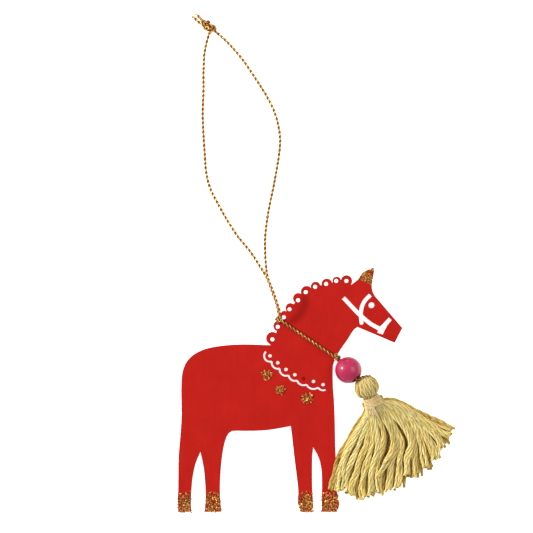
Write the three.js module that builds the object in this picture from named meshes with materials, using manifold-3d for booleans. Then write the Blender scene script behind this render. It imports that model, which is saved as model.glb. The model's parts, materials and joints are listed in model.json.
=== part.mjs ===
// A dala horse ornament: a painted sheet cut-out with a glittered ear, hooves and
// saddle dots, hung from a twisted cord loop, with a bead and a tassel at its throat.
// It lies on its back on a flat surface. Millimetres, +X to the horse's nose,
// +Y from the hooves to the ear, +Z out of the painted front.

import * as THREE from 'three';
import { mergeVertices } from 'three/addons/utils/BufferGeometryUtils.js';
import Module from 'manifold-3d';

// ---------------------------------------------------------------- driving sizes

const horseLength = 84.3;        // rear heel to nose
const horseHeight = 91.8;        // soles to the tip of the ear
const sheetThickness = 1.2;
const gap = 0.3;                 // clearance between pieces that touch on the real one

const maneHoleRadius = 0.75;
const eyeRadius = 1.12;
const harnessWidth = 1.5;        // width of the bridle's straight slots
const collarHoleRadius = 0.66;
const scallopWidth = 0.68;       // the wavy slot below the collar holes

const glitterThickness = 0.35;
const hoofGlitterHeight = 7.5;

const cordDiameter = 1.25;
const napeKnotRadius = 1.35;
const throatKnotRadius = 1.2;
const throatKnotLift = 1.45;     // above the back of the sheet, pulled up by the bead
const topKnotLength = 6.0;
const topKnotWidth = 3.8;

const beadDiameter = 10;
const beadHoleDiameter = 3;
const beadKnotDistance = 0.48;   // from the bead's surface to the centre of the throat knot
const beadHeading = -47.5;       // degrees from +X, seen from the front

const headDiameter = 9.2;        // tassel head, across
const headCrown = 4.1;           // from the widest place up to the crown
const headFoot = 3.7;            // from the widest place down to the binding
const headSlack = 0.4;           // between the bead and the head
const headHeading = -43.5;        // from the bead's centre to the head's centre
const neckRadius = 3.0;
const bindingThickness = 0.4;
const bindingHeight = 3.3;
const tasselHeading = -67.3;     // the way the skirt points
const stopKnotRadius = 1.0;      // hidden inside the head
const skirtHeightAtBinding = 7.4;
const skirtHeightAtTips = 2.7;

// ---------------------------------------------------------------- small helpers

const wasm = await Module();
wasm.setup();

const degrees = THREE.MathUtils.degToRad;
const cordRadius = cordDiameter / 2;
const drawnLength = 84.3;        // the size that the outline below is drawn at
const drawnHeight = 91.8;

function onHorse(x, y) {
  return new THREE.Vector2(x * horseLength / drawnLength, y * horseHeight / drawnHeight);
}

function toSolid(geometry) {
  const bare = geometry.clone();
  bare.deleteAttribute('normal');
  bare.deleteAttribute('uv');
  const merged = mergeVertices(bare, 1e-5);
  return new wasm.Manifold(new wasm.Mesh({
    numProp: 3,
    vertProperties: new Float32Array(merged.attributes.position.array),
    triVerts: new Uint32Array(merged.index.array),
  }));
}

function toGeometry(solid) {
  const mesh = solid.getMesh();
  const geometry = new THREE.BufferGeometry();
  geometry.setAttribute('position', new THREE.BufferAttribute(mesh.vertProperties, 3));
  geometry.setIndex(new THREE.BufferAttribute(mesh.triVerts, 1));
  geometry.computeVertexNormals();
  return geometry;
}

function prism(shape, low, high, curveSegments = 12) {
  const settings = { depth: high - low, bevelEnabled: false, curveSegments };
  return new THREE.ExtrudeGeometry(shape, settings).translate(0, 0, low);
}

function smoothLine(points, step) {
  const through = points.map((point) => new THREE.Vector3(point.x, point.y, 0));
  const curve = new THREE.CatmullRomCurve3(through, false, 'centripetal');
  const count = Math.max(points.length - 1, Math.round(curve.getLength() / step));
  return curve.getSpacedPoints(count).map((point) => new THREE.Vector2(point.x, point.y));
}

function cordAlong(points, diameter, step) {
  const curve = new THREE.CatmullRomCurve3(points, false, 'centripetal');
  const steps = Math.max(1, Math.round(curve.getLength() / step));
  const section = new THREE.Shape();
  for (let side = 0; side < 8; side += 1) {
    const angle = side * Math.PI / 4;
    const corner = [Math.cos(angle) * diameter / 2, Math.sin(angle) * diameter / 2];
    if (side === 0) section.moveTo(...corner);
    else section.lineTo(...corner);
  }
  return new THREE.ExtrudeGeometry(section, { steps, extrudePath: curve, curveSegments: 1 });
}

function disc(centre, radius, low, high) {
  const shape = new THREE.Shape();
  shape.absarc(centre.x, centre.y, radius, 0, 2 * Math.PI);
  return toSolid(prism(shape, low, high, 9));
}

const colours = {
  redPaint: new THREE.MeshStandardMaterial({ color: 0xc4211a, roughness: 0.62, metalness: 0 }),
  glitter: new THREE.MeshStandardMaterial({ color: 0xc39a3e, roughness: 0.35, metalness: 0.8 }),
  cord: new THREE.MeshStandardMaterial({ color: 0xb98c3c, roughness: 0.55, metalness: 0.3 }),
  bead: new THREE.MeshStandardMaterial({ color: 0xcc3468, roughness: 0.28, metalness: 0 }),
  yarn: new THREE.MeshStandardMaterial({ color: 0xd3c07a, roughness: 0.8, metalness: 0 }),
  binding: new THREE.MeshStandardMaterial({ color: 0xe0bc84, roughness: 0.75, metalness: 0 }),
};

function piece(name, geometry, material, parent) {
  const mesh = new THREE.Mesh(geometry, material);
  mesh.name = name;
  parent.add(mesh);
  return mesh;
}

// ---------------------------------------------------------------- the horse's outline

const stretch = (...pairs) => pairs.map(([x, y]) => onHorse(x, y));

// Each line below runs from one corner of the outline to the next, anticlockwise from
// the rear heel; the first and last points of neighbouring lines are the same corner.
const lines = {
  rearSole: stretch([0.1, 0], [5.0, 0]),
  rearLegInside: stretch([5.0, 0], [4.8, 3.8], [5.0, 7.9], [5.6, 13.7], [6.8, 18.7], [8.4, 22.6]),
  secondLegBack: stretch([8.4, 22.6], [9.5, 17.3], [10.1, 11.4], [10.3, 4.6], [9.9, 0]),
  secondSole: stretch([9.9, 0], [16.2, 0]),
  secondLegFront: stretch([16.2, 0], [15.7, 7.5], [15.9, 13.7], [16.5, 20.5], [17.4, 25.5],
    [18.4, 28.5], [19.7, 30.2], [21.8, 30.5]),
  belly: stretch([21.8, 30.5], [27, 30.45], [33, 30.7], [38.3, 31.5], [42.3, 32.3]),
  thirdLegBack: stretch([42.3, 32.3], [43.6, 20.6], [45.1, 7.5], [45, 3.2], [46.2, 0]),
  thirdSole: stretch([46.2, 0], [50.8, 0]),
  thirdLegFront: stretch([50.8, 0], [50.7, 3.4], [50.4, 8.3], [50.3, 13.9], [50.4, 21.4],
    [50.7, 24.3]),
  frontLegInside: stretch([50.7, 24.3], [52.7, 20.6], [53.7, 16.5], [54, 12], [53.9, 4.5],
    [54, 0]),
  frontSole: stretch([54, 0], [59.3, 0]),
  frontLeg: stretch([59.3, 0], [60.5, 1.9], [60.3, 4.5], [59.6, 8.3], [59.3, 15.8],
    [59, 25.1], [58.8, 34.5], [58.5, 42], [58.1, 47.3], [58, 52.5], [58.2, 55.5],
    [59, 57.5], [60.8, 60.8], [63.4, 64.5], [66.4, 69], [67.2, 69.5]),
  jaw: stretch([67.2, 69.5], [81.2, 63.5]),
  muzzle: stretch([81.2, 63.5], [84.1, 69.1]),
  forehead: stretch([84.1, 69.1], [73.7, 81.2]),
  brow: stretch([73.7, 81.2], [72.8, 83.1], [72.6, 85.3], [73.5, 90.4], [73.3, 91.8]),
  earTop: stretch([73.3, 91.8], [69.2, 89.8], [67.8, 87.6], [65.1, 85.3]),
  crest: stretch([65.1, 85.3], [61.4, 86.4], [59.4, 86.3], [55.7, 85.6], [51.6, 84.5], [48.2, 82.6],
    [45.1, 79.9], [42.1, 76.6], [40.3, 73.9], [38.9, 71.7], [37.6, 69], [35.6, 64.8],
    [34.5, 62.6]),
  back: stretch([34.5, 62.6], [24.7, 62.9], [17.4, 62.5], [10.6, 61.3], [5.9, 59.1],
    [3.2, 56.4], [1.7, 52.6], [1.25, 47.8], [1.3, 35.5], [0.9, 29.2], [0.2, 20.5], [0, 8],
    [-0.2, 4.5], [0.1, 0]),
};

// The mane is a row of round lobes along the crest: centre and radius of each.
const maneLobes = [
  [63.2, 86.8, 2.1], [59.5, 86.7, 1.65], [55.8, 85.6, 2.05], [51.6, 84.6, 1.87],
  [48.2, 82.7, 2.18], [45.1, 80.2, 2.02], [42.1, 76.6, 1.82], [40.0, 73.8, 1.72],
  [37.7, 69.8, 2.0], [35.4, 65.2, 2.4],
];
const maneHoles = [
  [63.1, 86.7], [59.3, 86.7], [55.5, 85.6], [51.4, 84.5], [47.9, 82.5],
  [45.0, 79.5], [41.8, 76.1], [39.7, 73.1], [37.4, 69.5], [35.4, 64.8],
];

function silhouette(low, high) {
  const corners = Object.values(lines).flatMap((line) => smoothLine(line, 1.6).slice(0, -1));
  let solid = toSolid(prism(new THREE.Shape(corners), low, high));
  for (const [x, y, radius] of maneLobes) {
    solid = solid.add(disc(onHorse(x, y), radius, low, high));
  }
  return solid;
}

// ---------------------------------------------------------------- cut-outs in the sheet

const below = -1;
const above = sheetThickness + 1;

function slotAlong(points, width) {
  const middle = smoothLine(points, 1);
  const curve = new THREE.SplineCurve(middle);
  const sides = [1, -1].map((side) => middle.map((point, index) => {
    const along = curve.getTangent(index / (middle.length - 1));
    const offset = new THREE.Vector2(-along.y, along.x).multiplyScalar(side * width / 2);
    return point.clone().add(offset);
  }));
  return toSolid(prism(new THREE.Shape([...sides[1], ...sides[0].reverse()]), below, above));
}

function harness() {
  const cheek = stretch([62, 80.4], [67.4, 74.7], [70.1, 72.3], [72.4, 70.5], [75.3, 68.9]);
  const brow = stretch([72.1, 81.4], [70.2, 79.5], [69.1, 77.5], [68.6, 75.3], [68.6, 72.9],
    [68.8, 71.0]);
  const noseband = stretch([79, 73], [75.8, 69.6], [75.1, 68.6], [74.7, 67.3], [76.8, 66.6],
    [77.3, 67.9], [78.4, 69.9], [80.1, 72]);
  const browEnd = disc(brow[brow.length - 1], harnessWidth / 2, below, above);
  return slotAlong(cheek, harnessWidth)
    .add(slotAlong(brow, harnessWidth))
    .add(browEnd)
    .add(toSolid(prism(new THREE.Shape(noseband), below, above)));
}

// The collar is a row of holes with a wavy slot below it: one arc about each hole, from
// the cusp it shares with the hole before to the cusp it shares with the hole after.
const collarHoles = stretch([34.5, 58.6], [37.4, 56.0], [40.5, 53.5], [43.8, 51.5],
  [47.1, 50.1], [50.8, 49.0], [54.4, 47.8]);
const scallopRadii = [2.2, 2.25, 2.4, 2.3, 2.55, 2.85, 2.15];
const collarStart = degrees(134);
const collarEnd = degrees(294);

// The direction, seen from one hole, in which its arc meets the arc of a neighbour.
function cuspAngle(here, there, turn) {
  const spacing = collarHoles[here].distanceTo(collarHoles[there]);
  const way = new THREE.Vector2().subVectors(collarHoles[there], collarHoles[here]);
  const near = scallopRadii[here];
  const far = scallopRadii[there];
  const cosine = (spacing ** 2 + near ** 2 - far ** 2) / (2 * spacing * near);
  return way.angle() + turn * Math.acos(Math.min(1, cosine));
}

function scallops() {
  let slot = null;
  const last = collarHoles.length - 1;
  collarHoles.forEach((hole, index) => {
    const start = index === 0 ? collarStart : cuspAngle(index, index - 1, 1);
    const end = index === last ? collarEnd : cuspAngle(index, index + 1, -1);
    const radius = scallopRadii[index];
    const arc = new THREE.Shape();
    arc.absarc(hole.x, hole.y, radius + scallopWidth / 2, start, end, false);
    arc.absarc(hole.x, hole.y, radius - scallopWidth / 2, end, start, true);
    const cutter = toSolid(prism(arc, below, above, 6));
    slot = slot ? slot.add(cutter) : cutter;
  });
  return slot;
}

function horseSheet() {
  let sheet = silhouette(0, sheetThickness);
  for (const [x, y] of maneHoles) {
    sheet = sheet.subtract(disc(onHorse(x, y), maneHoleRadius, below, above));
  }
  for (const hole of collarHoles) {
    sheet = sheet.subtract(disc(hole, collarHoleRadius, below, above));
  }
  const eye = disc(onHorse(72.5, 77.6), eyeRadius, below, above);
  return sheet.subtract(eye).subtract(harness()).subtract(scallops());
}

// ---------------------------------------------------------------- the tilted horse

// One strand of the cord passes under the neck, so the sheet rests on its soles and on
// that strand, and is turned up by this angle about the line of the soles.
const nape = onHorse(37.6, 72.5);
const throat = onHorse(60.35, 57.15);
const tilt = Math.asin((cordDiameter + gap) / throat.y);

const horse = new THREE.Group();
horse.rotation.x = tilt;
piece('horse_board', toGeometry(horseSheet()), colours.redPaint, horse);

const coatLow = sheetThickness + gap;
const coatHigh = coatLow + glitterThickness;
const coat = silhouette(coatLow, coatHigh);

function boxBetween(low, high) {
  const size = new THREE.Vector3().subVectors(high, low);
  const centre = new THREE.Vector3().addVectors(low, high).multiplyScalar(0.5);
  return new THREE.BoxGeometry(size.x, size.y, size.z).translate(centre.x, centre.y, centre.z);
}

// Every place that is nearer than the gap to the sheet, or to the glitter on its hooves,
// for pieces that lie round them.
function keepOutRoom() {
  const hoofCorners = [
    new THREE.Vector3(-horseLength, -1, coatLow - 1),
    new THREE.Vector3(2 * horseLength, hoofGlitterHeight, coatHigh + 1),
  ];
  const hooves = silhouette(-gap, coatHigh + gap).intersect(toSolid(boxBetween(...hoofCorners)));
  const grown = silhouette(-gap, sheetThickness + gap).add(hooves);
  let room = grown;
  for (let turn = 0; turn < 8; turn += 1) {
    const angle = turn * Math.PI / 4;
    room = room.add(grown.translate([gap * Math.cos(angle), gap * Math.sin(angle), 0]));
  }
  return room;
}
const keepOut = keepOutRoom();

const hoofSpans = [[-3, 7.5], [7.5, 25], [43, 52.2], [52.2, 65]];
hoofSpans.forEach(([left, right], index) => {
  const low = new THREE.Vector3(onHorse(left, 0).x, -1, coatLow - 1);
  const high = new THREE.Vector3(onHorse(right, 0).x, hoofGlitterHeight, coatHigh + 1);
  const solid = coat.intersect(toSolid(boxBetween(low, high)));
  piece(`hoof_glitter_${index + 1}`, toGeometry(solid), colours.glitter, horse);
});

const earRegion = new THREE.Shape(stretch([67.4, 87.8], [73, 85.1], [76, 85], [76, 94], [66, 94]));
const earSolid = coat.intersect(toSolid(prism(earRegion, coatLow - 1, coatHigh + 1)));
piece('ear_glitter', toGeometry(earSolid), colours.glitter, horse);

const saddleDots = [[33.3, 51.5, 1.9], [38.3, 45.9, 1.7], [48.3, 42.8, 2.05]];
saddleDots.forEach(([x, y, radius], index) => {
  const dot = disc(onHorse(x, y), radius, coatLow, coatHigh);
  piece(`glitter_dot_${index + 1}`, toGeometry(dot), colours.glitter, horse);
});

// ---------------------------------------------------------------- cord round the neck

function knot(centre, radius) {
  return toSolid(new THREE.SphereGeometry(radius, 14, 9).translate(centre.x, centre.y, centre.z));
}

const napeKnotCentre = new THREE.Vector3(nape.x, nape.y, sheetThickness * 0.75);
const throatKnotCentre = new THREE.Vector3(throat.x, throat.y, throatKnotLift);
const napeKnot = knot(napeKnotCentre, napeKnotRadius).subtract(keepOut);
const throatKnot = knot(throatKnotCentre, throatKnotRadius).subtract(keepOut);
piece('nape_knot', toGeometry(napeKnot), colours.cord, horse);
piece('throat_knot', toGeometry(throatKnot), colours.cord, horse);

// The strands start and end just outside the two knots.
const acrossNeck = new THREE.Vector2().subVectors(throat, nape);
const neckWidth = acrossNeck.length();
acrossNeck.normalize();

function neckStrand(height) {
  const start = napeKnotRadius + gap;
  const end = neckWidth - throatKnotRadius - gap;
  const points = [start, (start + end) / 2, end].map((distance) => {
    const point = nape.clone().addScaledVector(acrossNeck, distance);
    return new THREE.Vector3(point.x, point.y, height);
  });
  return cordAlong(points, cordDiameter, 5);
}

const frontHeight = sheetThickness + gap + cordRadius;
const backHeight = -gap - cordRadius;
piece('neck_cord_front', neckStrand(frontHeight), colours.cord, horse);
piece('neck_cord_back', neckStrand(backHeight), colours.cord, horse);

// ---------------------------------------------------------------- hanging loop

// Both legs of the loop run from the top knot to the nape knot. They lie on the surface
// until they meet; from there the right leg rides on the left one. The third number is
// the height: 0 lies on the surface, 1 rides on the other leg.
const leftLeg = [
  [11.7, 179.6, 0], [10.6, 176, 0], [9.8, 171.5, 0], [9.5, 165, 0], [9.5, 158, 0],
  [9.2, 149, 0], [9.5, 141.5, 0], [10.0, 134, 0], [10.5, 127.5, 0], [12.0, 121.5, 0],
  [15.0, 115.5, 0], [18.4, 109.5, 0], [22.3, 103.5, 0], [27.2, 97.5, 0], [31.1, 91.5, 0],
  [33.4, 87.6, 0], [35.4, 82.6, 0], [36.9, 78, 0], [37.5, 74.6, 0],
];
const rightLeg = [
  [14.3, 180.1, 0], [19.3, 175.5, 0], [24.4, 169.5, 0], [28.5, 163.5, 0], [32.4, 157.5, 0],
  [35.6, 151.5, 0], [37.5, 145.5, 0], [38.3, 139.5, 0], [37.8, 133.5, 0], [36.8, 127.5, 0],
  [35.7, 121.5, 0], [34.4, 115.5, 0], [33.4, 109.5, 0], [32.7, 103.5, 0], [32.7, 97.5, 0.1],
  [32.9, 94, 0.4], [33.1, 90.7, 0.8], [33.6, 87.4, 1], [35.4, 82.6, 1], [36.9, 78, 1],
  [37.5, 74.6, 1],
];
const tails = [
  [[9.1, 184.6, 0], [6.6, 187.3, 0]],
  [[7.8, 183.4, 0], [5.0, 186.2, 0]],
];
const topKnotCentre = new THREE.Vector3(11.2, 182.2, topKnotWidth / 2);
const topKnotHeading = -31.5;

// The points are drawn from a nape at (37.6, 72.5), and the loop hangs at the real one.
const loop = new THREE.Group();
loop.position.set(nape.x - 37.6, nape.y - 72.5, 0);
const legStep = 3.2 * cordDiameter;
const stackHeight = cordDiameter + gap;
const spacePoints = (list) => list.map(([x, y, lift]) => (
  new THREE.Vector3(x, y, cordRadius + lift * stackHeight)
));
piece('loop_leg_left', cordAlong(spacePoints(leftLeg), cordDiameter, legStep), colours.cord, loop);
piece('loop_leg_right', cordAlong(spacePoints(rightLeg), cordDiameter, legStep), colours.cord, loop);

const knotBall = new THREE.SphereGeometry(topKnotWidth / 2, 16, 10);
const topKnot = piece('loop_knot', knotBall, colours.cord, loop);
topKnot.geometry.scale(topKnotLength / topKnotWidth, 1, 1);
topKnot.rotation.z = degrees(topKnotHeading);
topKnot.position.copy(topKnotCentre);
tails.forEach((tail, index) => {
  const geometry = cordAlong(spacePoints(tail), cordDiameter, legStep);
  piece(`loop_tail_${index + 1}`, geometry, colours.cord, loop);
});

// ---------------------------------------------------------------- bead

// The bead rests on the surface with its hole pointing at the throat knot.
const knotInSpace = throatKnotCentre.clone().applyAxisAngle(new THREE.Vector3(1, 0, 0), tilt);
const beadRadius = beadDiameter / 2;
const beadRise = beadRadius - knotInSpace.z;
const beadReach = beadRadius + beadKnotDistance;
const beadRun = Math.sqrt(beadReach ** 2 - beadRise ** 2);
const beadAngle = degrees(beadHeading);
const beadCentre = new THREE.Vector3(
  knotInSpace.x + beadRun * Math.cos(beadAngle),
  knotInSpace.y + beadRun * Math.sin(beadAngle),
  beadRadius,
);
const holeAxis = new THREE.Vector3().subVectors(beadCentre, knotInSpace).normalize();

function beadShape() {
  const holeRadius = beadHoleDiameter / 2;
  const lip = Math.acos(holeRadius / beadRadius);
  const profile = [];
  for (let step = 0; step <= 14; step += 1) {
    const latitude = lip * (step / 7 - 1);
    profile.push(new THREE.Vector2(
      beadRadius * Math.cos(latitude),
      beadRadius * Math.sin(latitude),
    ));
  }
  profile.push(profile[0].clone());
  return new THREE.LatheGeometry(profile, 28);
}

const tassel = new THREE.Group();
const up = new THREE.Vector3(0, 1, 0);
const bead = piece('bead', beadShape(), colours.bead, tassel);
bead.quaternion.setFromUnitVectors(up, holeAxis);
bead.position.copy(beadCentre);

// ---------------------------------------------------------------- tassel

const headRadius = headDiameter / 2;
const bindingRadius = neckRadius + gap + bindingThickness;
const headAngle = degrees(headHeading);
const headRun = beadRadius + headCrown + headSlack;
const headCentre = new THREE.Vector3(
  beadCentre.x + headRun * Math.cos(headAngle),
  beadCentre.y + headRun * Math.sin(headAngle),
  headRadius + 0.05,
);

// Head and binding share an axis that drops until the binding also meets the surface.
const bindingStart = headFoot + gap;
const bindingEnd = bindingStart + bindingHeight;
const bindingMiddle = (bindingStart + bindingEnd) / 2;
const headDrop = Math.asin((headRadius - bindingRadius) / bindingEnd);
const skirtTurn = new THREE.Matrix4().makeRotationZ(degrees(tasselHeading));
const headTurn = skirtTurn.clone().multiply(new THREE.Matrix4().makeRotationY(headDrop));
const alongTassel = new THREE.Matrix4().makeRotationZ(-Math.PI / 2);
const headPlace = headTurn.clone().multiply(alongTassel).setPosition(headCentre);

const profilePoints = (pairs) => pairs.map(([radius, along]) => new THREE.Vector2(radius, along));
const headCurve = smoothLine(profilePoints([
  [0, -headCrown], [headRadius * 0.52, -headCrown * 0.88], [headRadius * 0.88, -headCrown * 0.5],
  [headRadius, 0], [headRadius * 0.95, headFoot * 0.5], [bindingRadius, headFoot],
]), 0.8);
const headProfile = [
  ...headCurve,
  ...profilePoints([[neckRadius, headFoot], [neckRadius, bindingEnd], [0, bindingEnd]]),
];
const headBody = toSolid(new THREE.LatheGeometry(headProfile, 28).applyMatrix4(headPlace));

// The cord comes from the throat knot, through the bead and into the head, where its
// stop knot is held by the folded yarn.
const beadExit = beadCentre.clone().addScaledVector(holeAxis, beadRadius + 0.2);
const stopKnotCentre = headCentre.clone().lerp(beadExit, 0.38);
const cordStart = knotInSpace.clone().addScaledVector(holeAxis, throatKnotRadius + gap);
const cordEnd = stopKnotCentre.clone().lerp(beadExit, (stopKnotRadius + gap)
  / stopKnotCentre.distanceTo(beadExit));
const cordPath = [cordStart, beadCentre, beadExit, cordEnd];
const socket = toSolid(cordAlong([...cordPath, stopKnotCentre], cordDiameter + 2 * gap + 0.1, 1.5));
const stopKnotRoom = knot(stopKnotCentre, stopKnotRadius + gap);
piece('tassel_cord', cordAlong(cordPath, cordDiameter, 1.6), colours.cord, tassel);
piece('tassel_stop_knot', toGeometry(knot(stopKnotCentre, stopKnotRadius)), colours.cord, tassel);
piece('tassel_head', toGeometry(headBody.subtract(socket).subtract(stopKnotRoom)),
  colours.yarn, tassel);

const bindingInner = neckRadius + gap;
const bindingProfile = profilePoints([
  [bindingInner, bindingStart], [bindingRadius, bindingStart],
  [bindingRadius, bindingEnd], [bindingInner, bindingEnd], [bindingInner, bindingStart],
]);
const binding = new THREE.LatheGeometry(bindingProfile, 28).applyMatrix4(headPlace);
piece('tassel_binding', binding, colours.binding, tassel);

// The skirt is a fan of loose yarn on the surface: its plan, cut by its height, which
// falls from the binding to the tips, and by the leg that it lies over.
const skirtStart = bindingEnd + gap + bindingRadius * Math.sin(headDrop);
const skirtPlan = [
  ...smoothLine([[7, -3.4], [10.8, -7], [14.6, -12.7], [18.5, -18.1], [22.2, -21.3],
    [30, -27.5]].map(([u, v]) => new THREE.Vector2(u, v)), 3),
  ...smoothLine([[33, -24.5], [37.6, -18.3], [39, -9.2], [38.2, 0], [36.4, 8.6], [32.6, 16.6],
    [27.6, 23.7]].map(([u, v]) => new THREE.Vector2(u, v)), 4),
  ...smoothLine([[25.1, 22.2], [17.2, 14.4], [12.6, 11.3], [9.1, 7.8],
    [7, 3.6]].map(([u, v]) => new THREE.Vector2(u, v)), 3),
];
const skirtPlace = skirtTurn.clone().setPosition(headCentre.x, headCentre.y, 0);
const skirtProfile = new THREE.Shape([
  [skirtStart, 0], [60, 0], [60, skirtHeightAtTips], [skirtStart + 18, skirtHeightAtTips],
  [skirtStart + 8, skirtHeightAtBinding * 0.62], [skirtStart, skirtHeightAtBinding],
].map(([u, z]) => new THREE.Vector2(u, z)));
const profileStand = new THREE.Matrix4().makeRotationX(Math.PI / 2);
const fan = toSolid(prism(new THREE.Shape(skirtPlan), -1, 20).applyMatrix4(skirtPlace));
const wedge = toSolid(prism(skirtProfile, -60, 60).applyMatrix4(profileStand)
  .applyMatrix4(skirtPlace));
const tiltedKeepOut = keepOut.rotate([THREE.MathUtils.radToDeg(tilt), 0, 0]);
const skirt = fan.intersect(wedge).subtract(tiltedKeepOut);
piece('tassel_skirt', toGeometry(skirt), colours.yarn, tassel);

// ---------------------------------------------------------------- assembly

// The origin is the middle of the underside of everything except the hanging loop.
const ornament = new THREE.Group();
ornament.add(horse, tassel);
ornament.updateMatrixWorld(true);
const box = new THREE.Box3().setFromObject(ornament, true);
const middle = box.getCenter(new THREE.Vector3());

const whole = new THREE.Group();
whole.add(horse, tassel, loop);
whole.position.set(-middle.x, -middle.y, -box.min.z);
whole.updateMatrixWorld(true);

export default whole;
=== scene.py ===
# %% [markdown]
# # A dala horse ornament
# A flat horse, cut from thin sheet metal and painted red, hangs from a twisted gold cord.
# Its ear, hooves and saddle carry gold glitter. A painted wooden bead and a cotton tassel
# hang at its throat. The CAD model gives every place and size, so it is loaded first, and
# each new piece is then made where the CAD part that it stands for lies.

# %% Load the frame
import json
import math
import random

import bmesh
import bpy
import numpy as np
from mathutils import Matrix, Vector
from mathutils.bvhtree import BVHTree


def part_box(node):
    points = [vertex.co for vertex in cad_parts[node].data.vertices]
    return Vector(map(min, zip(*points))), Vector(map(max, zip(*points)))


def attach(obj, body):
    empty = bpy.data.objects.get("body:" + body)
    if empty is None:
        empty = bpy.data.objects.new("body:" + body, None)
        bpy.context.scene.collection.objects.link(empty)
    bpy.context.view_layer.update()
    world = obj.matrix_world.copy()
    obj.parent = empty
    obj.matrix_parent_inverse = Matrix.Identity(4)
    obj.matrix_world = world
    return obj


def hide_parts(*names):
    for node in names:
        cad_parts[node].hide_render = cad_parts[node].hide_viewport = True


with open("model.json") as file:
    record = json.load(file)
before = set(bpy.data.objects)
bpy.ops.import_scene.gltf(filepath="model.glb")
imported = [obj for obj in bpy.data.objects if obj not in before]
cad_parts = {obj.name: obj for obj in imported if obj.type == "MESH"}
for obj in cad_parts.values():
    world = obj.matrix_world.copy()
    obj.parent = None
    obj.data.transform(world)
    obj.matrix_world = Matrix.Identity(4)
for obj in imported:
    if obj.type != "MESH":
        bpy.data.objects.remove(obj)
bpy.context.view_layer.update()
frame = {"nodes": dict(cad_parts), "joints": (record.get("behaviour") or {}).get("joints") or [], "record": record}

MM = 0.001
scene = bpy.context.scene
joints = {joint["name"]: joint for joint in frame["joints"]}


# %% [markdown]
# ## Small helpers
# Blender's shaders work in linear light, while paint charts and colour pickers give sRGB, so
# one function turns a hex colour to linear. Another adds a node with its settings and links.
# The Mix node has its inputs once for each kind of data, so the colour ones go by number.

# %% Helpers for materials
FACTOR, LOW, HIGH, BLEND = 0, 6, 7, 2        # inputs of a colour mix, and its output


def linear(hex_colour):
    """Turns an sRGB colour such as "#C3221A" into the linear RGBA that nodes take."""
    channels = [int(hex_colour[i:i + 2], 16) / 255 for i in (1, 3, 5)]
    curve = [c / 12.92 if c <= 0.04045 else ((c + 0.055) / 1.055) ** 2.4 for c in channels]
    return [*curve, 1.0]


def new_material(name, **sockets):
    """A material whose shader has these values; returns it with its shader."""
    material = bpy.data.materials.new(name)
    material.use_nodes = True
    shader = material.node_tree.nodes["Principled BSDF"]
    for socket, value in sockets.items():
        shader.inputs[socket.replace("_", " ")].default_value = value
    return material, shader


def add_node(material, kind, settings, links):
    """Adds a node. Settings name its options or inputs, and links map inputs to outputs."""
    node = material.node_tree.nodes.new(kind)
    for key, value in settings.items():
        if isinstance(value, str) and value.startswith("#"):
            value = linear(value)
        if isinstance(key, str) and hasattr(node, key):
            setattr(node, key, value)
        else:
            node.inputs[key].default_value = value
    for key, output in links.items():
        material.node_tree.links.new(output, node.inputs[key])
    return node


def connect(material, output, shader, socket):
    material.node_tree.links.new(output, shader.inputs[socket])


# %% [markdown]
# ## Camera
# The ornament lies flat on a table and is seen from straight above. A long lens far away
# keeps the thin sheet and the thick tassel at the same scale, as a catalogue view does.

# %% Camera
VIEW_WIDTH = 0.199875      # what the square view spans on the table
LENS = 150.0               # millimetres, a long lens
SENSOR = 36.0
view_middle = Vector((-0.018315, 0.046205, 0.002))

camera_data = bpy.data.cameras.new("camera")
camera_data.lens = LENS
camera_data.sensor_width = SENSOR
camera = bpy.data.objects.new("camera", camera_data)
scene.collection.objects.link(camera)
camera.location = view_middle + Vector((0, 0, VIEW_WIDTH * LENS / SENSOR))
camera_data.clip_start = 0.05
camera_data.clip_end = 20.0
scene.camera = camera
print("camera height in m:", round(camera.location.z, 3))


# %% [markdown]
# ## Yarn and cord
# A twisted cord could be two coiled tubes, but one tube is lighter: its section is a figure
# of eight, one lobe for each ply, and it turns as it goes along. Blender's curves do this
# by themselves. The line is a curve, the section is its bevel object, and the tilt of each
# point turns the section.

# %% Helpers for yarn and cord
def smooth_route(points, step):
    """Evenly spaced stations on a smooth line through the points."""
    knots = np.array(points, float)
    ends = np.vstack([2 * knots[0] - knots[1], knots, 2 * knots[-1] - knots[-2]])
    dense = []
    for before, here, there, after in zip(ends, ends[1:], ends[2:], ends[3:]):
        for t in np.linspace(0, 1, 12, endpoint=False):
            pull_here, pull_there = (there - before) / 2, (after - here) / 2
            dense.append((2 * t**3 - 3 * t**2 + 1) * here + (t**3 - 2 * t**2 + t) * pull_here
                         + (3 * t**2 - 2 * t**3) * there + (t**3 - t**2) * pull_there)
    dense = np.array([*dense, knots[-1]])
    along = np.concatenate([[0], np.cumsum(np.linalg.norm(np.diff(dense, axis=0), axis=1))])
    stations = np.linspace(0, along[-1], max(2, round(along[-1] / step) + 1))
    return np.column_stack([np.interp(stations, along, dense[:, axis]) for axis in range(3)])


def length_of(stations):
    return float(np.linalg.norm(np.diff(stations, axis=0), axis=1).sum())


def ply_section(name, radius, plies, sides, groove):
    """The section of a yarn: a circle with one lobe for each ply, as deep as groove says."""
    data = bpy.data.curves.new(name, "CURVE")
    data.dimensions = "2D"
    spline = data.splines.new("POLY")
    spline.points.add(sides - 1)
    spline.use_cyclic_u = True
    for side, point in enumerate(spline.points):
        angle = math.tau * side / sides
        reach = radius * (1 - groove / 2 + groove / 2 * math.cos(plies * angle))
        point.co = (reach * math.cos(angle), reach * math.sin(angle), 0, 1)
    section = bpy.data.objects.new(name, data)
    scene.collection.objects.link(section)
    return section


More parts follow.
